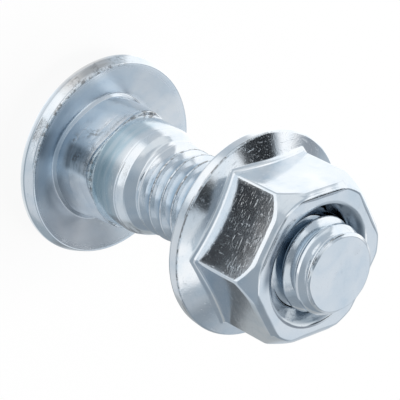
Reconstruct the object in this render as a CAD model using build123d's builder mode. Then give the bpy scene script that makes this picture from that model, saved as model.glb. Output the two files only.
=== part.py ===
import os
from math import sqrt

from build123d import *

# Thread M6, drawn as its plain outer envelope
thread_diameter = 6.0
thread_clearance = 0.05

# Lengths along the bolt, counted from the bearing face under the head
shank_length = 20.95
neck_length = 2.3
shoulder_length = 2.2
step_length = 1.5

# Point of the bolt, a long taper that ends in a small rolled edge
point_length = 1.7
point_depth = 0.35
tip_edge_height = 0.12
tip_edge_width = 0.2

# Mushroom head, a low crown with a small flat over a rounded rim
head_diameter = 13.3
crown_flat_diameter = 6.0
crown_height = 2.05
crown_edge_round = 0.4
rim_straight = 0.3
rim_round_height = 0.75
rim_round_depth = 0.25

# Underside of the head, a flat land round a shallow dish
seat_land_width = 0.35
dish_depth = 0.65

# Square neck, measured out from the thread, with its corners turned round
neck_flat_rise = 0.4
neck_corner_reach = 0.75
neck_corner_taper = 0.2

# Round root where the neck stands on the head
root_fillet = 0.3
root_slope = 0.35

# Round shoulder between the square and the thread
shoulder_rise = 0.65
shoulder_taper = 0.07

# Hexagon of the nut
nut_across_flats = 9.9
nut_height = 6.25
nut_turn = 30.0
nut_chamfer_height = 1.25
nut_chamfer_inset = 0.05

# Flange, with a rounded rim and a low cone that runs into the hexagon
flange_diameter = 13.4
flange_rim_height = 0.95
flange_rim_round = 0.15
flange_cone_height = 0.75
flange_cone_inset = 0.4
hexagon_root_fillet = 0.35

# Countersinks at the two mouths of the nut's bore
outer_mouth_width = 0.9
outer_mouth_depth = 0.8
seat_mouth_width = 0.4
seat_mouth_depth = 0.4

# Thread left free past the nut
thread_past_nut = 1.75

# Radii that follow from these
thread_radius = thread_diameter / 2
bore_radius = thread_radius + thread_clearance
head_radius = head_diameter / 2
crown_flat_radius = crown_flat_diameter / 2
neck_half_width = thread_radius + neck_flat_rise
neck_corner_radius = neck_half_width + neck_corner_reach
shoulder_radius = thread_radius + shoulder_rise
point_radius = thread_radius - point_depth
hexagon_flat_radius = nut_across_flats / 2
hexagon_corner_radius = nut_across_flats / sqrt(3)
flange_radius = flange_diameter / 2

# Ledge of the flange outside the corners of the hexagon, the wall that limits its fillet
hexagon_ledge = flange_radius - flange_rim_round - hexagon_corner_radius

# Heights that follow from these
wall_top_z = crown_height + rim_straight
seat_z = wall_top_z + rim_round_height
neck_base_z = seat_z - dish_depth
root_end_z = neck_base_z + root_fillet + root_slope
neck_end_z = seat_z + neck_length
shoulder_end_z = neck_end_z + shoulder_length
thread_start_z = shoulder_end_z + step_length
tip_z = seat_z + shank_length
nut_top_z = tip_z - thread_past_nut
nut_z = nut_top_z - nut_height
flange_rim_z = nut_z + flange_rim_height
cone_end_z = flange_rim_z + flange_cone_height
chamfer_start_z = nut_top_z - nut_chamfer_height

# Share of its ledge that a fillet may take
ledge_share = 0.75

# Two heights closer than this are the same height
same_height = 0.001

# Sphere of the crown, through the edge of its flat and the foot of the rim
crown_centre_z = (head_radius**2 - crown_flat_radius**2 + crown_height**2) / (2 * crown_height)
crown_radius = sqrt(crown_flat_radius**2 + crown_centre_z**2)


# Bolt, one upset and rolled piece
with BuildPart() as bolt:
    # Neck, a short cone cut square
    with BuildSketch(Plane.XY.offset(neck_base_z)):
        Circle(neck_corner_radius)
    with BuildSketch(Plane.XY.offset(neck_end_z)):
        Circle(neck_corner_radius - neck_corner_taper)
    loft()
    with BuildSketch(Plane.XY.offset(neck_base_z)):
        Rectangle(2 * neck_half_width, 2 * neck_half_width)
    extrude(amount=neck_end_z - neck_base_z, mode=Mode.INTERSECT)

    # Head, with the round root that carries the neck
    with BuildSketch(Plane.XZ) as head_profile:
        with BuildLine():
            crown = RadiusArc((crown_flat_radius, 0), (head_radius, crown_height), -crown_radius)
            wall = Line(crown @ 1, (head_radius, wall_top_z))
            rim = TangentArc(wall @ 1, (head_radius - rim_round_depth, seat_z), tangent=(0, 1))
            land = Line(rim @ 1, (rim.position_at(1).X - seat_land_width, seat_z))
            dish = Line(land @ 1, (neck_corner_radius + root_fillet, neck_base_z))
            root = RadiusArc(dish @ 1, (neck_corner_radius, neck_base_z + root_fillet), root_fillet)
            Polyline(root @ 1, (neck_half_width, root_end_z), (0, root_end_z), (0, 0), crown @ 0)
        make_face()
        # Round the edge between the crown and the wall of the rim
        wall_points = head_profile.vertices().group_by(Axis.X)[-1]
        fillet(wall_points.sort_by(Axis.Y)[0], radius=crown_edge_round)
    revolve(axis=Axis.Z)

    # Shoulder, step, thread envelope and point
    with BuildSketch(Plane.XZ):
        with BuildLine():
            Polyline(
                (0, neck_end_z),
                (shoulder_radius, neck_end_z),
                (shoulder_radius - shoulder_taper, shoulder_end_z),
                (thread_radius, thread_start_z),
                (thread_radius, tip_z - point_length),
                (point_radius, tip_z - tip_edge_height),
                (point_radius - tip_edge_width, tip_z),
                (0, tip_z),
                close=True,
            )
        make_face()
    revolve(axis=Axis.Z)


# Nut, hexagon and flange in one piece
with BuildPart() as flange_nut:
    with BuildSketch(Plane.XY.offset(nut_z)):
        RegularPolygon(hexagon_flat_radius, 6, major_radius=False, rotation=nut_turn)
    extrude(amount=nut_height)

    # Corners turned down at the outer end
    with BuildSketch(Plane.XZ):
        with BuildLine():
            Polyline(
                (0, nut_z),
                (hexagon_corner_radius, nut_z),
                (hexagon_corner_radius, chamfer_start_z),
                (hexagon_flat_radius - nut_chamfer_inset, nut_top_z),
                (0, nut_top_z),
                close=True,
            )
        make_face()
    revolve(axis=Axis.Z, mode=Mode.INTERSECT)

    # Flange with a rounded rim and a low cone up to the hexagon
    with BuildSketch(Plane.XZ):
        with BuildLine():
            flange_rim = ThreePointArc(
                (flange_radius - flange_rim_round, nut_z),
                (flange_radius, nut_z + flange_rim_height / 2),
                (flange_radius - flange_rim_round, flange_rim_z),
            )
            Polyline(
                flange_rim @ 1,
                (hexagon_flat_radius - flange_cone_inset, cone_end_z),
                (0, cone_end_z),
                (0, nut_z),
                flange_rim @ 0,
            )
        make_face()
    revolve(axis=Axis.Z)

    # Fillet where the hexagon stands on the cone of the flange
    root_edges = flange_nut.edges().filter_by_position(Axis.Z, flange_rim_z + same_height, chamfer_start_z)
    hexagon_roots = root_edges.filter_by(GeomType.LINE, reverse=True)
    fillet(hexagon_roots, radius=min(hexagon_root_fillet, ledge_share * hexagon_ledge))

    # Bore, opened at both mouths
    with BuildSketch(Plane.XZ):
        with BuildLine():
            Polyline(
                (0, nut_z),
                (bore_radius + seat_mouth_width, nut_z),
                (bore_radius, nut_z + seat_mouth_depth),
                (bore_radius, nut_top_z - outer_mouth_depth),
                (bore_radius + outer_mouth_width, nut_top_z),
                (0, nut_top_z),
                close=True,
            )
        make_face()
    revolve(axis=Axis.Z, mode=Mode.SUBTRACT)


os.makedirs("parts", exist_ok=True)
for name, piece in (("bolt", bolt), ("flange_nut", flange_nut)):
    piece.part.label = name
    export_step(piece.part, f"parts/{name}.step")
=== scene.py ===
"""Square-neck bolt with a flange nut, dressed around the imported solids.

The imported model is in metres. The sizes here are millimetres in the same frame, with the
bolt standing on its head and Z running up its axis, and MM turns them into metres.
"""

import logging
import math
from dataclasses import dataclass
from enum import Enum
from typing import Callable, Sequence

import bpy
from mathutils import Matrix, Vector
from mathutils.kdtree import KDTree


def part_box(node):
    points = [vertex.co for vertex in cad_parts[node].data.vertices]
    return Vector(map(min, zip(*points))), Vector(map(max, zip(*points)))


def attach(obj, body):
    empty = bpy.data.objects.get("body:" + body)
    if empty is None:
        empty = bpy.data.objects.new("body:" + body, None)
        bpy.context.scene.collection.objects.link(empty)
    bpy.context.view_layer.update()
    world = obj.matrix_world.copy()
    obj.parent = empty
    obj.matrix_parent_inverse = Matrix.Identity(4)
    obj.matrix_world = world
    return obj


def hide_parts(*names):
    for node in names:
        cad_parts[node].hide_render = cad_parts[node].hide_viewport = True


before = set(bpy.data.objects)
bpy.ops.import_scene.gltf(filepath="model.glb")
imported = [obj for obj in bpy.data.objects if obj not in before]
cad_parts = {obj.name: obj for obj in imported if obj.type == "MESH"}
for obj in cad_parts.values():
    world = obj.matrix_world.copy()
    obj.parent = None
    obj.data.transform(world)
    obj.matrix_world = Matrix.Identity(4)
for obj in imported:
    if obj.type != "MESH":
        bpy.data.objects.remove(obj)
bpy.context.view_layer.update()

logging.basicConfig(level=logging.INFO, format="%(name)s: %(message)s")
log = logging.getLogger("bolt_and_nut")

MM = 0.001

# Side of the object that faces the camera, as an angle round the axis
FRONT = math.radians(-63.9)

# Half of one side of a hexagon, as an angle
HALF_SIDE = math.pi / 6

# Distances in metres below which points are one, after a spin, a screw and a cut
SPIN_WELD = 1e-7
SCREW_WELD = 1e-6
CUT_WELD = 1e-8

# Turns in radians: a corner that turns by less is straight, and one that turns by more folds back
STRAIGHT = 1e-4
SHARPEST = 3.0

# Least divisor, which keeps an arc finite
TINY = 1e-6

# Shares of a run that an arc, and the point that holds the run flat, may take
ARC_SHARE = 0.9
HOLD_SHARE = 0.04

Point = tuple[float, float]
Span = tuple[float, float]
Triple = tuple[float, float, float]
Colour = Triple

Piece = bpy.types.Object
Tree = bpy.types.NodeTree

# Whites and the black that the studio shows, over 1 where they glow. PALE, BRIGHT and BLACK are painted
# reflections, which only mirrored rays see.
WHITE: Colour = (1.0, 1.0, 1.0)
PALE: Colour = (1.15, 1.15, 1.15)
BRIGHT: Colour = (1.2, 1.2, 1.2)
BLACK: Colour = (0.025, 0.028, 0.031)


class Body(Enum):
    """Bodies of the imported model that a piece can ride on."""

    BOLT = "bolt"
    NUT = "nut"


class Slot(Enum):
    """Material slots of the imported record."""

    BOLT = "zinc_bolt"
    NUT = "zinc_nut"


# Profiles


@dataclass(frozen=True)
class Corner:
    """One corner of a turned profile, with the radius that rounds it."""

    r: float
    z: float
    radius: float = 0.0
    steps: int = 6


def lerp(x: float, stops: Sequence[Point]) -> float:
    """Read a broken line.

    Args:
        x: Where to read it.
        stops: Its (x, y) points, with x rising.

    Returns:
        The y at x, held level past both ends.
    """
    if x <= stops[0][0]:
        return stops[0][1]
    for (x0, y0), (x1, y1) in zip(stops, stops[1:]):
        if x <= x1:
            return y0 + (y1 - y0) * (x - x0) / (x1 - x0)
    return stops[-1][1]


def arc(start: Vector, end: Vector, centre: Vector, turn: float, steps: int) -> list[Point]:
    """Divide an arc.

    Args:
        start: Its first point.
        end: Its last point.
        centre: Its centre.
        turn: The angle that it spans in radians.
        steps: Number of its divisions.

    Returns:
        Its points, both ends among them.
    """
    points = []
    for step in range(steps + 1):
        share = step / steps
        if turn < STRAIGHT:
            spot = start.lerp(end, share)
        else:
            from_start = math.sin((1 - share) * turn) / math.sin(turn)
            from_end = math.sin(share * turn) / math.sin(turn)
            spot = centre + (start - centre) * from_start + (end - centre) * from_end
        points.append(tuple(spot))
    return points


def rounded(corners: Sequence[Corner], closed: bool, ease: float = 0.05) -> list[Point]:
    """Round the corners of a profile with arcs.

    A corner always gives the same number of points, so that profiles of one kind join up.
    Each arc stays inside its two runs, with a point on either side that holds the run flat.

    Args:
        corners: The corners in order.
        closed: Whether the last corner runs back to the first.
        ease: Most distance from an arc's end to the point that holds the run, in millimetres.

    Returns:
        The (r, z) points of the rounded profile.
    """
    count = len(corners)
    spots = [Vector((corner.r, corner.z)) for corner in corners]
    runs = [(spots[i - 1] - spots[i], spots[(i + 1) % count] - spots[i]) for i in range(count)]
    turns = [math.pi - back.angle(ahead, math.pi) for back, ahead in runs]
    halves = [math.tan(min(turn, SHARPEST) / 2) for turn in turns]
    reach = [corner.radius * half for corner, half in zip(corners, halves)]
    points: list[Point] = []
    for i, corner in enumerate(corners):
        if corner.radius <= 0 or (not closed and i in (0, count - 1)):
            points.append((corner.r, corner.z))
            continue
        here, turn, (back, ahead) = spots[i], turns[i], runs[i]
        share_back = back.length * reach[i] / max(reach[i] + reach[i - 1], TINY)
        share_ahead = ahead.length * reach[i] / max(reach[i] + reach[(i + 1) % count], TINY)
        cut = min(reach[i], ARC_SHARE * share_back, ARC_SHARE * share_ahead)
        arc_radius = cut / max(math.tan(turn / 2), TINY)
        towards_back, towards_ahead = back.normalized(), ahead.normalized()
        start, end = here + towards_back * cut, here + towards_ahead * cut
        middle = towards_back + towards_ahead
        centre = here + middle.normalized() * (arc_radius / max(math.cos(turn / 2), TINY))
        hold = min(ease, HOLD_SHARE * min(back.length, ahead.length))
        points.append(tuple(start + towards_back * hold))
        points += arc(start, end, centre, turn, corner.steps)
        points.append(tuple(end + towards_ahead * hold))
    return points


# Modelling steps


def clear_selection() -> None:
    """Leave nothing selected, in object mode."""
    if bpy.context.object and bpy.context.object.mode != "OBJECT":
        bpy.ops.object.mode_set(mode="OBJECT")
    bpy.ops.object.select_all(action="DESELECT")


def edit(piece: Piece, mode: str = "VERT") -> None:
    """Open one object in edit mode, with all of it selected."""
    clear_selection()
    piece.select_set(True)
    bpy.context.view_layer.objects.active = piece
    bpy.ops.object.mode_set(mode="EDIT")
    bpy.ops.mesh.select_mode(type=mode)
    bpy.ops.mesh.select_all(action="SELECT")


def lay_profile(name: str, points: Sequence[Point], closed: bool) -> Piece:
    """Lay a profile in the XZ plane, as edges alone.

    Args:
        name: Name of the new object.
        points: The (r, z) points in millimetres.
        closed: Whether the profile closes on itself.

    Returns:
        The new object.
    """
    clear_selection()
    bpy.ops.mesh.primitive_circle_add(vertices=len(points), radius=MM, fill_type="NOTHING")
    piece = bpy.context.object
    piece.name = piece.data.name = name
    for vertex, (r, z) in zip(piece.data.vertices, points):
        vertex.co = (r * MM, 0.0, z * MM)
    if not closed:
        edit(piece, "EDGE")
        bpy.ops.object.mode_set(mode="OBJECT")
        last = len(points) - 1
        for edge in piece.data.edges:
            edge.select = set(edge.vertices) == {0, last}
        bpy.ops.object.mode_set(mode="EDIT")
        bpy.ops.mesh.delete(type="EDGE")
        bpy.ops.object.mode_set(mode="OBJECT")
    return piece


def close_and_turn_out(piece: Piece) -> None:
    """Fill what is open in a mesh, and turn its faces outwards."""
    edit(piece)
    others = ("use_wire", "use_multi_face", "use_non_contiguous", "use_verts")
    bpy.ops.mesh.select_non_manifold(extend=False, **dict.fromkeys(others, False))
    piece.update_from_editmode()
    if any(vertex.select for vertex in piece.data.vertices):
        bpy.ops.mesh.fill_holes(sides=0)
    bpy.ops.mesh.select_all(action="SELECT")
    bpy.ops.mesh.normals_make_consistent(inside=False)
    bpy.ops.object.mode_set(mode="OBJECT")
    bpy.ops.object.shade_smooth()


def turned(
    name: str, section: Callable[[float], list[Point]], angles: Sequence[float], closed: bool
) -> Piece:
    """Spin a profile a full turn and give each angle its own section.

    Args:
        name: Name of the new object.
        section: Gives the (r, z) points at an angle, the same number at each.
        angles: The angles of the sections in radians, rising through one turn.
        closed: Whether the profile closes on itself. An open one is filled at both ends.

    Returns:
        The piece, with its faces outwards.
    """
    base = section(angles[0])
    piece = lay_profile(name, base, closed)
    tree = KDTree(len(base))
    for index, (r, z) in enumerate(base):
        tree.insert((r * MM, 0.0, z * MM), index)
    tree.balance()
    edit(piece)
    bpy.ops.mesh.spin(
        steps=len(angles), angle=math.tau, use_auto_merge=True, center=(0, 0, 0), axis=(0, 0, 1)
    )
    bpy.ops.mesh.select_all(action="SELECT")
    bpy.ops.mesh.remove_doubles(threshold=SPIN_WELD)
    bpy.ops.object.mode_set(mode="OBJECT")
    sections = [section(angle) for angle in angles]
    step = math.tau / len(angles)
    for vertex in piece.data.vertices:
        x, y, z = vertex.co
        column = round(math.atan2(y, x) / step) % len(angles)
        row = tree.find((math.hypot(x, y), 0.0, z))[1]
        r, height = sections[column][row]
        angle = angles[column]
        vertex.co = (r * MM * math.cos(angle), r * MM * math.sin(angle), height * MM)
    close_and_turn_out(piece)
    return piece


# Shader maths


@dataclass(frozen=True)
class Socket:
    """An output socket of a node, none if it ends its tree, that takes part in expressions."""

    tree: Tree
    output: bpy.types.NodeSocket | None

    def math(self, operation: str, other: "Socket | float" = 0.0, flip: bool = False) -> "Socket":
        """Join this value to another through one Math node.

        Args:
            operation: The Math node's operation.
            other: The second value, unused by an operation on one value.
            flip: Whether the second value comes first.

        Returns:
            The result.
        """
        pair = (other, self) if flip else (self, other)
        return node(self.tree, "ShaderNodeMath", {"operation": operation}, dict(enumerate(pair)))

    def __add__(self, other: "Socket | float") -> "Socket":
        """Add."""
        return self.math("ADD", other)

    __radd__ = __add__

    def __sub__(self, other: "Socket | float") -> "Socket":
        """Subtract."""
        return self.math("SUBTRACT", other)

    def __rsub__(self, other: "Socket | float") -> "Socket":
        """Subtract this from a number."""
        return self.math("SUBTRACT", other, flip=True)

    def __mul__(self, other: "Socket | float") -> "Socket":
        """Multiply."""
        return self.math("MULTIPLY", other)

    __rmul__ = __mul__

    def at_least(self, other: "Socket | float") -> "Socket":
        """Take the larger of two values."""
        return self.math("MAXIMUM", other)


def node(
    tree: Tree,
    kind: str,
    settings: dict[str, object] | None = None,
    sockets: dict[str | int, object] | None = None,
    output: str | int = 0,
) -> Socket:
    """Add one node to a tree.

    Args:
        tree: The node tree.
        kind: Blender's name for the node type.
        settings: The node's settings, set first.
        sockets: Values or sockets for its inputs, by name or number.
        output: The output to return, by name or number.

    Returns:
        The chosen output.
    """
    made = tree.nodes.new(kind)
    for key, value in (settings or {}).items():
        setattr(made, key, value)
    for key, value in (sockets or {}).items():
        if isinstance(value, Socket):
            tree.links.new(value.output, made.inputs[key])
        else:
            made.inputs[key].default_value = value
    return Socket(tree, made.outputs[output] if made.outputs else None)


def empty_tree(owner: bpy.types.Material | bpy.types.World) -> Tree:
    """Turn a material or world over to nodes, and give its emptied tree."""
    owner.use_nodes = True
    owner.node_tree.nodes.clear()
    return owner.node_tree


def mix_colour(share: Socket, a: Socket | Colour, b: Socket | Colour) -> Socket:
    """Blend two colours by a share from 0 to 1."""
    first, second = ((*each, 1.0) if isinstance(each, tuple) else each for each in (a, b))
    settings, sockets = {"data_type": "RGBA"}, {0: share, 6: first, 7: second}
    return node(share.tree, "ShaderNodeMix", settings, sockets, output=2)


def smooth(value: Socket, low: float, high: float) -> Socket:
    """Stretch a value from low..high to 0..1, with soft ends. Low may be the larger."""
    sockets = {"Value": value, "From Min": low, "From Max": high}
    return node(value.tree, "ShaderNodeMapRange", {"interpolation_type": "SMOOTHSTEP"}, sockets)


def between(value: Socket, span: Span, ease: float) -> Socket:
    """Share to which a value lies in a span whose ends are ease soft on either side."""
    low, high = span
    return smooth(value, low - ease, low + ease) * smooth(value, high + ease, high - ease)


def near_azimuth(angle: Socket, middle: float, half_width: float, soft: float) -> Socket:
    """How near an angle is to an azimuth.

    Args:
        angle: Angle round the axis in radians.
        middle: The azimuth in degrees, counted from the camera's side.
        half_width: Half the width of the stretch in degrees.
        soft: Share of the half width by which its ends are soft, on either side.

    Returns:
        The share, 1 inside and 0 outside.
    """
    off = angle - (FRONT + math.radians(middle))
    sockets = {0: off, 1: math.pi, 2: -math.pi}
    turn = node(angle.tree, "ShaderNodeMath", {"operation": "WRAP"}, sockets)
    outer, inner = half_width * (1 + soft), half_width * (1 - soft)
    return smooth(turn.math("ABSOLUTE"), math.radians(outer), math.radians(inner))


def split(vector: Socket) -> list[Socket]:
    """Take a vector apart into x, y and z."""
    parts = node(vector.tree, "ShaderNodeSeparateXYZ", {}, {0: vector}).output.node.outputs
    return [Socket(vector.tree, part) for part in parts]


# Finish


@dataclass(frozen=True)
class Ring:
    """A ring on the surface, between two radii and two heights, in millimetres.

    The arc is its middle, counted from the camera's side, and its half width, both in degrees.
    A ring without one goes all the way round.
    """

    radii: Span
    heights: Span
    ease: float = 0.05
    arc: tuple[float, float] | None = None
    soft: float = 0.3


@dataclass(frozen=True)
class Pattern:
    """A noise over the surface, and the two values between which its marks come up.

    Its features have the size in millimetres, over the squeeze along each axis.
    """

    size: float
    detail: float
    low: float = 0.0
    high: float = 1.0
    rough: float = 0.5
    squeeze: Triple | None = None


class Surface:
    """What the nodes of a material know of a point on a piece."""

    def __init__(self, tree: Tree) -> None:
        """Read the place, and work out its radius, height and angle in the object's frame."""
        self.tree = tree
        self.place = node(tree, "ShaderNodeTexCoord", output="Object")
        x, y, z = split(self.place)
        self.radius = (x * x + y * y).math("SQRT") * (1 / MM)
        self.height = z * (1 / MM)
        self.angle = y.math("ARCTAN2", x)

    def noise(self, pattern: Pattern) -> Socket:
        """Lay a pattern's plain noise.

        Args:
            pattern: The pattern.

        Returns:
            The noise.
        """
        where, scale = self.place, 1 / (pattern.size * MM)
        if pattern.squeeze:
            settings, sockets = {"operation": "MULTIPLY"}, {0: where, 1: pattern.squeeze}
            where = node(self.tree, "ShaderNodeVectorMath", settings, sockets)
        sockets = {"Vector": where, "Scale": scale, "Detail": pattern.detail, "Roughness": pattern.rough}
        return node(self.tree, "ShaderNodeTexNoise", {}, sockets)

    def marks(self, pattern: Pattern) -> Socket:
        """Share to which a pattern marks the point."""
        return smooth(self.noise(pattern), pattern.low, pattern.high)

    def inside(self, ring: Ring) -> Socket:
        """How far the point lies in a ring, from 0 to 1."""
        found = between(self.radius, ring.radii, ring.ease)
        found = found * between(self.height, ring.heights, ring.ease)
        return found * near_azimuth(self.angle, *ring.arc, ring.soft) if ring.arc else found

    def inside_any(self, rings: Sequence[Ring]) -> Socket:
        """How far the point lies in the ring that holds it best."""
        found = self.inside(rings[0])
        for ring in rings[1:]:
            found = found.at_least(self.inside(ring))
        return found

    def raised(self, distance: float, height_map: Socket, normal: Socket | None = None) -> Socket:
        """Bump the surface.

        Args:
            distance: Height in millimetres of what the map gives as 1.
            height_map: The map.
            normal: The surface under it, where that is bumped already.

        Returns:
            The normal.
        """
        sockets = {"Strength": 1.0, "Distance": distance * MM, "Height": height_map}
        if normal:
            sockets["Normal"] = normal
        return node(self.tree, "ShaderNodeBump", {}, sockets, output="Normal")


@dataclass(frozen=True)
class StainAndShade:
    """A patch of colour over the plating, for real tints and for painted shade and painted reflections.
    """

    ring: Ring
    colour: Colour
    share: float = 0.9


@dataclass(frozen=True)
class ZincFinish:
    """Bright zinc plating with a bluish passivation and the marks of handling, and painted shade and
    painted reflections in its colour.

    Heights are millimetres. What ends in dull is what a mark adds to the roughness, and what
    ends in share is how much of it shows in the colour or the relief.
    """

    name: str
    burrs: tuple[Ring, ...]
    stains_and_shades: tuple[StainAndShade, ...]
    mottles: tuple[Ring, ...] = ()
    satins: tuple[Ring, ...] = ()
    pale: Colour = (0.82, 0.85, 0.88)
    blue: Colour = (0.64, 0.73, 0.81)
    dark: Colour = (0.2, 0.2, 0.2)
    clouds: Pattern = Pattern(3.5, 2.0, 0.35, 0.65)
    patches: Pattern = Pattern(0.9, 3.0, 0.42, 0.72)
    streaks: Pattern = Pattern(0.45, 2.0, 0.38, 0.62, squeeze=(0.15, 0.15, 1.0))
    specks: Pattern = Pattern(0.11, 2.0, 0.64, 0.78)
    flecks: Pattern = Pattern(0.22, 2.0, 0.56, 0.42)
    scratches_round: Pattern = Pattern(0.9, 3.0, 0.6, 0.72, 0.7, (1.0, 1.0, 9.0))
    scratches_along: Pattern = Pattern(0.9, 3.0, 0.62, 0.74, 0.7, (8.0, 8.0, 1.0))
    chips: Pattern = Pattern(0.45, 4.0, 0.52, 0.42, 0.7)
    grain: Pattern = Pattern(0.16, 3.0, rough=0.65)
    waves: Pattern = Pattern(1.6, 1.0)
    roughness: float = 0.09
    cloud_dull: float = 0.03
    speck_dull: float = 0.2
    scratch_dull: float = 0.14
    chip_dull: float = 0.1
    satin_dull: float = 0.2
    cloud_blue_share: float = 0.5
    patch_blue_share: float = 0.3
    stain_and_shade_cloud_share: float = 0.15
    stain_and_shade_streak_share: float = 0.35
    dark_share: float = 0.75
    grain_share: float = 0.7
    scratch_share: float = 0.4
    grain_height: float = 0.0036
    wave_height: float = 0.006
    burr_height: float = 0.045

    def material(self) -> bpy.types.Material:
        """Make the material, on Object coordinates.

        Returns:
            The material.
        """
        made = bpy.data.materials.new(self.name)
        tree = empty_tree(made)
        surface = Surface(tree)
        clouds, patches = surface.marks(self.clouds), surface.marks(self.patches)
        specks, streaks = surface.marks(self.specks), surface.marks(self.streaks)
        scratches = surface.marks(self.scratches_round)
        scratches = scratches.at_least(surface.marks(self.scratches_along))
        chips, burrs = surface.noise(self.chips), surface.inside_any(self.burrs)
        worn = smooth(chips, self.chips.low, self.chips.high)

        rough = self.roughness + self.cloud_dull * clouds + self.speck_dull * specks
        rough = rough + self.scratch_dull * scratches + self.chip_dull * burrs
        blue = clouds * self.cloud_blue_share + patches * self.patch_blue_share
        colour = mix_colour(blue, self.pale, self.blue)
        even = 1 - self.stain_and_shade_cloud_share - self.stain_and_shade_streak_share
        broken = even + self.stain_and_shade_cloud_share * clouds + self.stain_and_shade_streak_share * streaks
        # Tints, painted shade and painted reflections, each mixed over the colour
        for stain_and_shade in self.stains_and_shades:
            share = surface.inside(stain_and_shade.ring) * stain_and_shade.share * broken
            colour = mix_colour(share, colour, stain_and_shade.colour)
        if self.mottles:
            mottled = surface.inside_any(self.mottles) * surface.marks(self.flecks) * patches
            colour = mix_colour(self.dark_share * mottled, colour, self.dark)
            rough = rough + self.chip_dull * mottled
        if self.satins:
            rough = rough + self.satin_dull * surface.inside_any(self.satins)
        colour = mix_colour(self.dark_share * burrs * worn, colour, self.dark)

        grained = 1 - self.grain_share + self.grain_share * patches
        relief = surface.noise(self.grain) * grained - self.scratch_share * scratches
        bump = surface.raised(self.wave_height, surface.noise(self.waves))
        bump = surface.raised(self.grain_height, relief, bump)
        bump = surface.raised(self.burr_height, chips * burrs, bump)
        sockets = {"Base Color": colour, "Metallic": 1.0, "Roughness": rough, "Normal": bump}
        shader = node(tree, "ShaderNodeBsdfPrincipled", {}, sockets)
        node(tree, "ShaderNodeOutputMaterial", {}, {"Surface": shader})
        return made


# The object


def dress(
    pieces: Sequence[Piece], finish: ZincFinish, body: Body, slot: Slot, stands_for: str
) -> None:
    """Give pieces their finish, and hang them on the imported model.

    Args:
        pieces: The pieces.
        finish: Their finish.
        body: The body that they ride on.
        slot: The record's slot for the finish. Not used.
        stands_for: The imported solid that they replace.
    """
    material = finish.material()
    for piece in pieces:
        piece.data.materials.append(material)
        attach(piece, body.value)
        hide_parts(stands_for)
        log.info("%s: %d faces", piece.name, len(piece.data.polygons))


@dataclass(frozen=True)
class Thread:
    """Metric coarse thread, shared by the bolt and its nut."""

    pitch: float = 1.0
    crest_radius: float = 3.0
    root_radius: float = 2.4
    crest_flat: float = 0.125
    crest_round: float = 0.05
    root_round: float = 0.14
    ease: float = 0.03
    flank: float = math.radians(30)
    crest_z: float = 9.17
    steps: int = 96

    def crest_at(self, angle: float) -> float:
        """Height of a crest at an angle, where the front's crest is at crest_z."""
        return self.crest_z + self.pitch * (angle - FRONT) / math.tau

    def radius_at(self, angle: float, z: float) -> float:
        """Radius of the sharp-rooted thread at an angle and a height."""
        turn = (z - self.crest_at(angle)) / self.pitch % 1.0
        off = min(turn, 1.0 - turn) * self.pitch - self.crest_flat / 2
        return max(self.crest_radius - max(off, 0.0) / math.tan(self.flank), self.root_radius)

    def ridge(self) -> list[Point]:
        """One pitch of the bolt's thread, crest in the middle.

        Returns:
            The (r, z) points at angle 0, spanning one pitch.
        """
        crest, root = self.crest_radius, self.root_radius
        run = (crest - root) * math.tan(self.flank)
        half_crest, half = self.crest_flat / 2, self.pitch / 2
        middle = self.crest_at(0.0)
        corners = [
            Corner(root, -half),
            Corner(root, -half_crest - run, self.root_round, 4),
            Corner(crest, -half_crest, self.crest_round, 3),
            Corner(crest, half_crest, self.crest_round, 3),
            Corner(root, half_crest + run, self.root_round, 4),
            Corner(root, half),
        ]
        return [(r, z + middle) for r, z in rounded(corners, False, self.ease)]

    def wind(
        self,
        name: str,
        profile: Sequence[Point],
        closed: bool,
        rule: Callable[[float, float], float],
        span: Span,
    ) -> Piece:
        """Wind a profile up the axis as a right-hand screw, shape it and cut it square.

        Args:
            name: Name of the new object.
            profile: The (r, z) points at angle 0, below the span. An open one is one pitch high.
            closed: Whether the profile closes on itself.
            rule: Gives a point's new radius from its old one and its height, in millimetres.
            span: Heights of the two cuts in millimetres.

        Returns:
            The piece, closed and with its faces outwards.
        """
        piece = lay_profile(name, profile, closed)
        screw = piece.modifiers.new("Screw", "SCREW")
        screw.axis, screw.angle, screw.screw_offset = "Z", math.tau, self.pitch * MM
        screw.iterations = math.ceil((span[1] - min(z for _, z in profile)) / self.pitch) + 1
        screw.steps = screw.render_steps = self.steps
        screw.use_smooth_shade, screw.use_normal_calculate = True, False
        bpy.ops.object.modifier_apply(modifier=screw.name)
        edit(piece)
        bpy.ops.mesh.remove_doubles(threshold=SCREW_WELD)
        bpy.ops.object.mode_set(mode="OBJECT")
        for vertex in piece.data.vertices:
            x, y, z = vertex.co
            r = math.hypot(x, y)
            scale = rule(r / MM, z / MM) * MM / r
            vertex.co = (x * scale, y * scale, z)
        for z, above in zip(span, (False, True)):
            edit(piece)
            bpy.ops.mesh.bisect(
                plane_co=(0, 0, z * MM), plane_no=(0, 0, 1), use_fill=True,
                clear_inner=not above, clear_outer=above, threshold=CUT_WELD,
            )
        close_and_turn_out(piece)
        return piece


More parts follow.
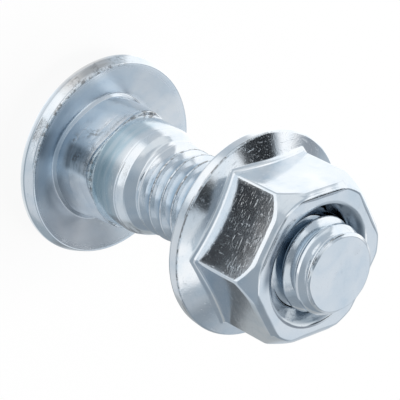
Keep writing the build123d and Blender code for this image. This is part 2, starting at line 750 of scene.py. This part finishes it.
@dataclass
class SquareNeckBolt:
    """The bolt: mushroom head, square neck, shoulder and thread, in one real piece.

    The neck is (z, half width, power) at each height, for a rounded square of that power. The
    outline and the run-in are (z, r), and the point is the same, counted from the tip.
    """

    finish: ZincFinish
    thread: Thread
    top: float
    head_radius: float
    sides: int = 240
    # Crown, from the small cap round its pole to its edge
    pole_radius: float = 0.35
    crown_middle: float = 1.5
    crown_flat: float = 3.0
    crown_height: float = 2.05
    crown_steps: int = 8
    # Rim of the head, and the land and the dish under it
    rim_wall: float = 0.36
    seat_z: float = 3.1
    seat_edge: float = 6.4
    land_width: float = 0.1
    dish_z: float = 2.45
    # Round root, which stands off centre, and the square neck
    root_fillet: float = 0.22
    root_lean: float = 0.02
    root_shift: tuple[float, float] = (FRONT + math.radians(40), 0.2)
    neck: tuple[Triple, ...] = (
        (2.68, 3.86, 2.3), (3.5, 3.72, 2.5), (4.4, 3.54, 3.0), (5.4, 3.42, 3.3)
    )
    neck_step: float = 0.06
    # Shoulder, by its radius at each end, and the core inside the thread
    shoulder: Span = (3.65, 3.58)
    shoulder_end: float = 7.6
    slope_run: float = 0.45
    slope_radius: float = 3.2
    core_run: float = 2.0
    core_radius: float = 2.2
    core_end: float = 0.3
    # Tip
    tip_middle: float = 1.2
    tip_edge: float = 0.12
    tip_wall: float = 0.06
    tip_slope: float = 0.08
    tip_flat: float = 2.45
    # Thread: its crests, the rise of its grooves on the shoulder, and where it is cut off
    outline: tuple[Point, ...] = (
        (7.4, 3.57), (7.7, 3.55), (8.2, 3.4), (8.7, 3.15), (9.1, 3.02), (9.3, 3.0)
    )
    run_in: tuple[Point, ...] = ((7.6, 3.6), (8.0, 3.46), (8.5, 3.18), (9.0, 2.78), (9.7, 2.4))
    point: tuple[Point, ...] = ((-1.75, 3.0), (-0.12, 2.65))
    least_groove: float = 0.01
    lead_turns: int = 3
    thread_foot: float = 0.1
    thread_end: float = 0.03

    def section(self, angle: float) -> list[Point]:
        """Profile of the bolt at an angle, with a plain core in place of the thread.

        Args:
            angle: Angle round the axis in radians.

        Returns:
            The (r, z) points from the crown to the flat of the tip.
        """
        height, flat, rim, seat = self.crown_height, self.crown_flat, self.head_radius, self.seat_z
        centre = (rim**2 - flat**2 + height**2) / (2 * height)
        sphere = math.hypot(flat, centre)
        first, last = math.asin(flat / sphere), math.asin(rim / sphere)
        slopes = [first + (last - first) * k / self.crown_steps for k in range(1, self.crown_steps)]
        across, along = abs(math.cos(angle)), abs(math.sin(angle))
        neck = [(half / (across**p + along**p) ** (1 / p), z) for z, half, p in self.neck]
        side, shift = self.root_shift
        root, (neck_end, neck_end_z) = neck[0][0] + shift * math.cos(angle - side), neck[-1]
        core, end_z, top = self.core_radius, self.shoulder_end, self.top
        # The thread's groove runs out through the edge of the tip
        groove = self.thread.radius_at(angle, top - self.tip_edge)
        tip = min(groove, lerp(-self.tip_edge, self.point))
        corners = [
            Corner(self.pole_radius, 0.0),
            Corner(self.crown_middle, 0.0),
            Corner(flat, 0.0, 1.2),
            *(Corner(sphere * math.sin(a), centre - sphere * math.cos(a)) for a in slopes),
            Corner(rim, height, 0.3),
            Corner(rim, height + self.rim_wall, 0.5),
            Corner(self.seat_edge, seat, 0.09),
            Corner(self.seat_edge - self.land_width, seat, 0.3, 5),
            Corner(root + self.root_fillet, self.dish_z + self.root_lean, 0.12),
            Corner(root + self.root_lean, self.dish_z + self.root_fillet, 0.12, 5),
            *(Corner(r, z, 0.8, 4) for r, z in neck[1:-1]),
            Corner(neck_end, neck_end_z, 0.07, 5),
            Corner(self.shoulder[0], neck_end_z + self.neck_step, 0.05, 4),
            Corner(self.shoulder[1], end_z, 0.3),
            Corner(self.slope_radius, end_z + self.slope_run, 0.1, 3),
            Corner(core, end_z + self.core_run, 0.1, 3),
            Corner(core, top - self.core_end, 0.05, 3),
            Corner(tip, top - self.tip_edge - self.tip_wall, 0.03, 3),
            Corner(tip, top - self.tip_edge, 0.06, 4),
            Corner(min(self.tip_flat, tip - self.tip_slope), top, 0.08, 5),
            Corner(self.tip_middle, top),
            Corner(self.pole_radius, top),
        ]
        return rounded(corners, False)

    def blank(self) -> Piece:
        """Build the head, neck, shoulder and the flat of the tip."""
        angles = [math.tau * k / self.sides for k in range(self.sides)]
        return turned("bolt_blank", self.section, angles, False)

    def screw(self) -> Piece:
        """Build the thread.

        Returns:
            The thread, from its run-out on the shoulder to the edge of the tip.
        """
        thread = self.thread
        profile = [(r, z - self.lead_turns * thread.pitch) for r, z in thread.ridge()]
        depth = thread.crest_radius - thread.root_radius
        runout = self.run_in[-1][0]

        def rule(r: float, z: float) -> float:
            """Bring the thread in under the bolt's outline, and run its groove out."""
            limit = lerp(z, self.outline)
            if z >= runout:
                return min(r, limit, lerp(z - self.top, self.point))
            root = min(lerp(z, self.run_in), limit - self.least_groove)
            share = (r - thread.root_radius) / depth
            return root + (limit - root) * share

        foot, end = self.shoulder_end - self.thread_foot, self.top - self.tip_edge - self.thread_end
        return thread.wind("bolt_thread", profile, False, rule, (foot, end))

    def build(self) -> None:
        """Build the bolt's pieces and dress them."""
        dress([self.blank(), self.screw()], self.finish, Body.BOLT, Slot.BOLT, "bolt")


@dataclass
class FlangeNut:
    """The nut: hexagon, flange and bore in one real piece."""

    finish: ZincFinish
    thread: Thread
    base: float
    top: float
    rim_radius: float
    face_steps: int = 20
    edge_steps: int = 8
    across_flats: float = 9.9
    edge_round: float = 0.25
    # Flange, from its rim to the root of the hexagon
    rim_height: float = 0.95
    rim_inset: float = 0.12
    rim_round: float = 0.4
    rim_lean: float = 0.04
    lip_round: float = 0.16
    cone_slope: float = 0.366
    root_round: float = 0.38
    # Outer end, with the corners turned down round a flat face
    chamfer: float = math.atan(1.6)
    face_radius: float = 4.94
    face_round: float = 0.62
    corner_round: float = 0.3
    # Bore and its two mouths
    bore_radius: float = 3.05
    seat_mouth: float = 0.4
    mouth_radius: float = 3.95
    mouth_round: float = 0.5
    mouth_depth: float = 0.8
    # Ridge of the thread, how it sinks into the wall at the mouths, and where it is cut off
    minor_radius: float = 2.46
    clearance: float = 0.04
    ridge_foot: float = 0.06
    ridge_ease: float = 0.02
    lower_run: float = 0.4
    upper_run: float = 0.35
    crest_sink: float = 0.02
    foot_sink: float = 0.1
    lower_cut: float = 0.3
    upper_cut: float = 0.55

    def edge_start(self) -> float:
        """Angle from a side's middle at which the rounding of its edge starts."""
        flat = self.across_flats / 2
        return math.atan2((flat - self.edge_round) * math.tan(HALF_SIDE), flat)

    def hexagon(self, angle: float) -> float:
        """Radius of the hexagon, its six edges rounded.

        Args:
            angle: Angle round the axis in radians.

        Returns:
            The radius in millimetres.
        """
        off = abs((angle + HALF_SIDE) % (2 * HALF_SIDE) - HALF_SIDE)
        if off <= self.edge_start():
            return self.across_flats / 2 / math.cos(off)
        # On the rounding, which is a circle about a centre on the hexagon's corner line
        centre = (self.across_flats / 2 - self.edge_round) / math.cos(HALF_SIDE)
        gap = HALF_SIDE - off
        height = max(self.edge_round**2 - (centre * math.sin(gap)) ** 2, 0.0)
        return centre * math.cos(gap) + math.sqrt(height)

    def angles(self) -> list[float]:
        """Angles of the sections, close together at the hexagon's edges.

        Returns:
            The angles in radians, rising through one turn.
        """
        start = self.edge_start()
        face = [-start + 2 * start * k / self.face_steps for k in range(self.face_steps + 1)]
        rest = HALF_SIDE - start
        edge = [start + rest * 2 * k / self.edge_steps for k in range(1, self.edge_steps)]
        middles = [side * 2 * HALF_SIDE for side in range(6)]
        return sorted((middle + a) % math.tau for middle in middles for a in face + edge)

    def section(self, angle: float) -> list[Point]:
        """Profile of the nut at an angle.

        Args:
            angle: Angle round the axis in radians.

        Returns:
            The (r, z) points, closed, from the mouth under the nut round to its bore.
        """
        wall = self.hexagon(angle)
        base, top, rim, bore = self.base, self.top, self.rim_radius, self.bore_radius
        lip, lip_z = rim - self.rim_lean, base + self.rim_height
        root = lip_z + (lip - wall) * self.cone_slope
        # A fillet of face_round is two arcs, whose corners stand this far from its sharp edge
        reach = self.face_round * (1 - math.tan(math.pi / 8))
        cone = (wall - self.face_radius) * math.tan(self.chamfer)
        share = min(max(cone / (2 * reach), 0.0), 1.0)
        share = share * share * (3 - 2 * share)
        drop = max(cone, reach + (cone - reach) * share)
        face = self.face_radius - reach * (1 - share)
        face_round = self.face_round + (self.corner_round - self.face_round) * share
        corners = [
            Corner(bore, base + self.seat_mouth, 0.05, 3),
            Corner(bore + self.seat_mouth, base, 0.08, 4),
            Corner(rim - self.rim_inset, base, self.rim_round, 8),
            Corner(lip, lip_z, self.lip_round, 7),
            Corner(wall, root, self.root_round, 8),
            Corner(wall, top - drop, self.face_round, 10),
            Corner(face, top, face_round, 8),
            Corner(self.mouth_radius, top, self.mouth_round, 7),
            Corner(bore, top - self.mouth_depth, 0.1, 4),
        ]
        return rounded(corners, True)

    def body(self) -> Piece:
        """Build the hexagon, flange and bore."""
        return turned("nut_body", self.section, self.angles(), True)

    def ridge(self) -> list[Point]:
        """Ridge of the nut's thread, which fills the bolt's groove but for the clearance.

        Returns:
            The (r, z) points at angle 0, closed, in the last groove below the nut's base.
        """
        thread, foot, crest = self.thread, self.bore_radius + self.ridge_foot, self.minor_radius

        def half_width(r: float) -> float:
            """Half the width of the ridge at a radius."""
            groove = thread.pitch / 2 - thread.crest_flat / 2
            slope = (thread.crest_radius - r) * math.tan(thread.flank)
            return groove - slope - self.clearance

        corners = [
            Corner(foot, half_width(foot), 0.02, 2),
            Corner(crest, half_width(crest), 0.03, 3),
            Corner(crest, -half_width(crest), 0.03, 3),
            Corner(foot, -half_width(foot), 0.02, 2),
        ]
        middle = thread.crest_at(0.0) + thread.pitch / 2
        start = math.floor((self.base - middle) / thread.pitch) * thread.pitch
        return [(r, z + middle + start) for r, z in rounded(corners, True, self.ridge_ease)]

    def screw(self) -> Piece:
        """Build the ridge of the thread inside the bore.

        Returns:
            The ridge, with its ends run out in the mouths of the bore.
        """
        bore, crest_radius, mouth = self.bore_radius, self.minor_radius, self.seat_mouth
        foot_radius = bore + self.ridge_foot
        lower = ((0.0, bore + mouth), (mouth, bore), (mouth + self.lower_run, crest_radius))
        full = (-self.mouth_depth - self.upper_run, crest_radius)
        upper = (full, (-self.mouth_depth, bore), (0.0, self.mouth_radius))

        def rule(r: float, z: float) -> float:
            """Sink the ridge into the wall where the mouths of the bore open."""
            wall = max(lerp(z - self.base, lower), lerp(z - self.top, upper))
            crest = max(crest_radius, wall + self.crest_sink)
            foot = max(foot_radius, wall + self.foot_sink)
            return crest + (foot - crest) * (r - crest_radius) / (foot_radius - crest_radius)

        span = (self.base + self.lower_cut, self.top - self.upper_cut)
        return self.thread.wind("nut_thread", self.ridge(), True, rule, span)

    def build(self) -> None:
        """Build the nut's pieces and dress them."""
        dress([self.body(), self.screw()], self.finish, Body.NUT, Slot.NUT, "flange_nut")


# The studio


@dataclass(frozen=True)
class Tone:
    """A painted reflection: a stretch of the surroundings as bright metal mirrors it, seen only by
    mirrored rays.

    The azimuth is in degrees from the camera's side. The reach is degrees of elevation on the
    studio's walls, and millimetres from the axis on its floor.
    """

    azimuth: float
    half_width: float
    reach: Span
    colour: Colour
    soft: float = 0.3


@dataclass
class Studio:
    """Pale floor, soft lamp and the camera at the photograph's viewing angle.

    Lengths are millimetres and the lamp's power is watts. The floor and the walls are white to
    the camera, and carry their tones, which are painted reflections, only for what the metal mirrors.
    """

    floor_size: float = 4000.0
    floor_paper: Colour = (0.8, 0.8, 0.8)
    floor_white: float = 0.92
    world_light: float = 0.5
    widest_ease: float = 15.0
    image_width: float = 400.0
    focal: float = 2572.31
    sensor: float = 36.0
    clip: Span = (10.0, 10000.0)
    aim: Triple = (-0.161, -0.079, 11.496)
    distance: float = 159.6
    elevation: float = math.radians(41.768)
    roll: float = math.radians(117.187)
    lamp_place: Triple = (-60.0, 40.0, 260.0)
    lamp_aim: Triple = (0.0, 0.0, 12.0)
    lamp_size: float = 160.0
    lamp_power: float = 0.6
    # Painted reflections: the walls' colour and tones, which only mirrored rays see
    wall_tone: Colour = (0.54, 0.59, 0.64)
    wall_tones: tuple[Tone, ...] = (
        Tone(70, 66, (3, 56), (0.36, 0.41, 0.46)),
        Tone(110, 110, (58, 80), (0.74, 0.78, 0.81)),
        Tone(-140, 90, (58, 80), (0.74, 0.78, 0.81)),
        Tone(176, 32, (30, 80), (0.76, 0.81, 0.86)),
        Tone(128, 22, (-10, 42), (0.3, 0.34, 0.38)),
        Tone(-60, 34, (-10, 24), (0.85, 0.88, 0.9)),
        Tone(-5, 24, (-10, 9), BRIGHT),
        Tone(0, 50, (71, 88), (0.26, 0.3, 0.34)),
        Tone(-126, 26, (-10, 29), BRIGHT, 0.15),
        Tone(-126, 20, (25, 43), BRIGHT, 0.15),
        Tone(-112, 24, (60, 76), (1.05, 1.07, 1.09)),
        Tone(-158, 12, (20, 50), (0.32, 0.35, 0.39)),
        Tone(-50, 20, (50, 68), PALE),
        Tone(125, 18, (52, 72), (1.1, 1.1, 1.1)),
        # Painted reflections: dark tones, seen only by mirrored rays, for the two dark patches of the
        # flange
        Tone(-133, 8.5, (45, 63), BLACK, 0.1),
        Tone(-165, 33, (77, 95), BLACK, 0.1),
    )
    # Painted reflections: the floor's colour and tones, which only mirrored rays see
    floor_tone: Colour = (0.62, 0.66, 0.7)
    floor_tones: tuple[Tone, ...] = (
        Tone(-126, 38, (0, 900), BRIGHT, 0.15),
        Tone(-22, 27, (12, 900), PALE),
        Tone(76, 70, (9.2, 13.5), (0.38, 0.43, 0.47)),
        Tone(60, 40, (15, 30), (0.72, 0.75, 0.78)),
        Tone(126, 20, (16, 900), (0.45, 0.47, 0.48)),
        # Painted reflection: a dark tone, seen only by mirrored rays, for the streak on the lower side
        # of the hexagon
        Tone(122, 12, (21, 27.3), (0.13, 0.14, 0.15), 0.25),
        Tone(126, 20, (9.2, 16), (0.24, 0.26, 0.28)),
        Tone(-20, 50, (0, 8.8), PALE),
        Tone(60, 40, (0, 8.8), (0.95, 0.95, 0.94)),
        # Painted reflections: a white tone, and the dark tone before it, that the hexagon's front side
        # mirrors
        Tone(2, 36, (31, 900), PALE, 0.12),
        Tone(7, 10.5, (22, 31), (0.04, 0.043, 0.048), 0.07),
    )

    def mirrored(
        self, angle: Socket, reach: Socket, base: Colour, tones: Sequence[Tone]
    ) -> tuple[Socket, Socket, Socket]:
        """Lay painted reflections: tones over a base colour, for mirrored rays alone.

        Args:
            angle: Azimuth round the axis in radians.
            reach: Elevation in degrees, or distance from the axis in millimetres.
            base: The colour under the tones.
            tones: The tones, each over those before it.

        Returns:
            The colour, and whether a ray comes from the camera and whether it is mirrored.
        """
        found: Socket | Colour = base
        for tone in tones:
            low, high = tone.reach
            ease = tone.soft * min((high - low) / 2, self.widest_ease)
            share = near_azimuth(angle, tone.azimuth, tone.half_width, tone.soft)
            found = mix_colour(share * between(reach, tone.reach, ease), found, tone.colour)
        seen = node(angle.tree, "ShaderNodeLightPath", output="Is Camera Ray")
        glossy = node(angle.tree, "ShaderNodeLightPath", output="Is Glossy Ray")
        return mix_colour(glossy, WHITE, found), seen, glossy

    def floor(self) -> None:
        """Lay the white floor, which carries painted reflections for mirrored rays."""
        clear_selection()
        bpy.ops.mesh.primitive_plane_add(size=self.floor_size * MM)
        floor = bpy.context.object
        floor.name = floor.data.name = "floor"
        made = bpy.data.materials.new("white_floor")
        tree = empty_tree(made)
        ground = Surface(tree)
        place = (ground.angle, ground.radius)
        colour, seen, glossy = self.mirrored(*place, self.floor_tone, self.floor_tones)
        paper = node(tree, "ShaderNodeBsdfDiffuse", {}, {"Color": (*self.floor_paper, 1.0)})
        glow = node(tree, "ShaderNodeEmission", {}, {"Color": colour, "Strength": 1.0})
        share = glossy.at_least(seen * self.floor_white)
        both = node(tree, "ShaderNodeMixShader", {}, {0: share, 1: paper, 2: glow})
        node(tree, "ShaderNodeOutputMaterial", {}, {"Surface": both})
        floor.data.materials.append(made)

    def world(self) -> None:
        """Set the plain light that comes from all round, and the painted reflections that the metal
        mirrors.
        """
        world = bpy.data.worlds.new("studio_world")
        bpy.context.scene.world = world
        tree = empty_tree(world)
        x, y, z = split(node(tree, "ShaderNodeTexCoord", output="Generated"))
        angle, height = y.math("ARCTAN2", x), z.math("ARCSINE") * (180 / math.pi)
        colour, seen, glossy = self.mirrored(angle, height, self.wall_tone, self.wall_tones)
        strength = self.world_light + (1 - self.world_light) * seen.at_least(glossy)
        shader = node(tree, "ShaderNodeBackground", {}, {"Color": colour, "Strength": strength})
        node(tree, "ShaderNodeOutputWorld", {}, {"Surface": shader})

    def camera(self) -> None:
        """Set the camera at the photograph's viewing angle."""
        data = bpy.data.cameras.new("camera")
        data.sensor_width = self.sensor
        data.lens = self.focal * self.sensor / self.image_width
        data.clip_start, data.clip_end = (limit * MM for limit in self.clip)
        camera = bpy.data.objects.new("camera", data)
        bpy.context.scene.collection.objects.link(camera)
        level = Matrix.Rotation(FRONT + math.pi / 2, 3, "Z")
        tilt = Matrix.Rotation(math.pi / 2 - self.elevation, 3, "X")
        roll = Matrix.Rotation(self.roll, 3, "Z")
        turn = level @ tilt @ roll
        camera.rotation_mode = "QUATERNION"
        camera.rotation_quaternion = turn.to_quaternion()
        camera.location = (Vector(self.aim) - turn @ Vector((0.0, 0.0, -self.distance))) * MM
        bpy.context.scene.camera = camera

    def lamp(self) -> None:
        """Hang one soft lamp over the object, which the metal doesn't mirror."""
        data = bpy.data.lights.new("top_lamp", "AREA")
        data.size, data.energy = self.lamp_size * MM, self.lamp_power
        lamp = bpy.data.objects.new("top_lamp", data)
        bpy.context.scene.collection.objects.link(lamp)
        lamp.location = Vector(self.lamp_place) * MM
        aim = Vector(self.lamp_aim) * MM - lamp.location
        lamp.rotation_mode = "QUATERNION"
        lamp.rotation_quaternion = aim.to_track_quat("-Z", "Y")
        lamp.visible_glossy = False

    def build(self) -> None:
        """Set up the whole studio."""
        bpy.context.scene.view_settings.view_transform = "Standard"
        self.floor()
        self.world()
        self.camera()
        self.lamp()


def plating(tip: float, base: float, top: float) -> tuple[ZincFinish, ZincFinish]:
    """Say where the plating of the two pieces is worn, stained and dull.

    Args:
        tip: Height of the bolt's tip in millimetres.
        base: Height of the nut's underside in millimetres.
        top: Height of the nut's outer face in millimetres.

    Returns:
        The bolt's finish and the nut's.
    """
    bolt = ZincFinish(
        "zinc_bolt",
        # Edges of the head, the neck's end, the thread's crests and the tip
        burrs=(
            Ring((6.25, 6.8), (2.96, 3.2), 0.06, (-18, 42)),
            Ring((3.35, 4.2), (5.2, 5.5), 0.08),
            Ring((2.97, 3.1), (9.5, tip - 1.2), 0.015, (-40, 70)),
            Ring((2.55, 3.1), (tip - 0.24, tip - 0.1), 0.04, (20, 80)),
        ),
        stains_and_shades=(
            # Shoulder
            StainAndShade(Ring((3.2, 4.6), (5.5, 7.1), 0.4, (20, 75)), (0.43, 0.6, 0.7)),
            StainAndShade(Ring((3.2, 4.6), (5.3, 6.5), 0.4, (18, 34)), (0.3, 0.43, 0.5), 0.8),
            # Underside of the head: a pale blue tint, and painted reflections in darker wedges round it
            StainAndShade(Ring((4.2, 6.1), (2.3, 3.0), 0.2, (-10, 60)), (0.62, 0.73, 0.83)),
            StainAndShade(Ring((4.1, 6.2), (2.3, 3.05), 0.3, (2, 20)), (0.42, 0.51, 0.6), 0.8),
            StainAndShade(Ring((4.0, 5.3), (2.3, 3.05), 0.35, (68, 26)), (0.36, 0.4, 0.44), 0.8),
            StainAndShade(Ring((4.0, 6.3), (2.3, 3.1), 0.2, (92, 36)), (0.56, 0.6, 0.65), 0.7),
            # Neck, and the wall of the head
            StainAndShade(Ring((3.5, 4.25), (3.1, 5.15), 0.25, (16, 12)), (0.16, 0.18, 0.2), 0.85),
            StainAndShade(Ring((6.35, 6.8), (1.9, 2.95), 0.12, (-38, 17)), (0.46, 0.45, 0.44), 0.85),
            # Painted shade in the grooves of the thread, and darker painted shade on the stretch of it
            # inside the nut's mouth
            StainAndShade(Ring((0.0, 2.6), (9.0, tip - 1.5), 0.15), (0.45, 0.56, 0.66)),
            StainAndShade(Ring((0.0, 2.8), (top - 1.6, top - 0.4), 0.12), (0.2, 0.27, 0.34)),
        ),
        # Flat of the neck, and the edge of the head
        mottles=(
            Ring((3.4, 4.3), (3.1, 5.3), 0.15, (2, 24)),
            Ring((6.3, 6.8), (2.3, 3.1), 0.1, (-46, 24)),
        ),
        # Dish under the head
        satins=(Ring((4.2, 6.35), (2.3, 3.08), 0.12),),
    )
    nut = ZincFinish(
        "zinc_nut",
        # The two edges of the flange
        burrs=(
            Ring((6.5, 6.8), (base + 0.88, base + 0.97), 0.03, (0, 60)),
            Ring((6.3, 6.8), (base - 0.1, base + 0.08), 0.03, (0, 70)),
        ),
        # Painted shade on both sides of the mouth, and darker painted shade in the bore
        stains_and_shades=(
            StainAndShade(Ring((0.0, 4.5), (base + 0.2, top + 0.3), 0.25, (12, 26)), (0.16, 0.2, 0.25)),
            StainAndShade(Ring((0.0, 4.0), (base + 0.2, top + 0.3), 0.1, (105, 28)), (0.42, 0.49, 0.55)),
            StainAndShade(Ring((0.0, 3.85), (base + 0.2, top - 0.06), 0.1), (0.1, 0.15, 0.2), 0.92),
        ),
    )
    return bolt, nut


def main() -> None:
    """Build the studio and the object, at the sizes of the imported parts."""
    Studio().build()
    thread = Thread()
    _, bolt_high = (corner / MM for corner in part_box("bolt"))
    nut_low, nut_high = (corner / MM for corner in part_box("flange_nut"))
    bolt_zinc, nut_zinc = plating(bolt_high.z, nut_low.z, nut_high.z)
    SquareNeckBolt(bolt_zinc, thread, top=bolt_high.z, head_radius=bolt_high.x).build()
    FlangeNut(nut_zinc, thread, base=nut_low.z, top=nut_high.z, rim_radius=nut_high.x).build()


if __name__ == "__main__":
    main()
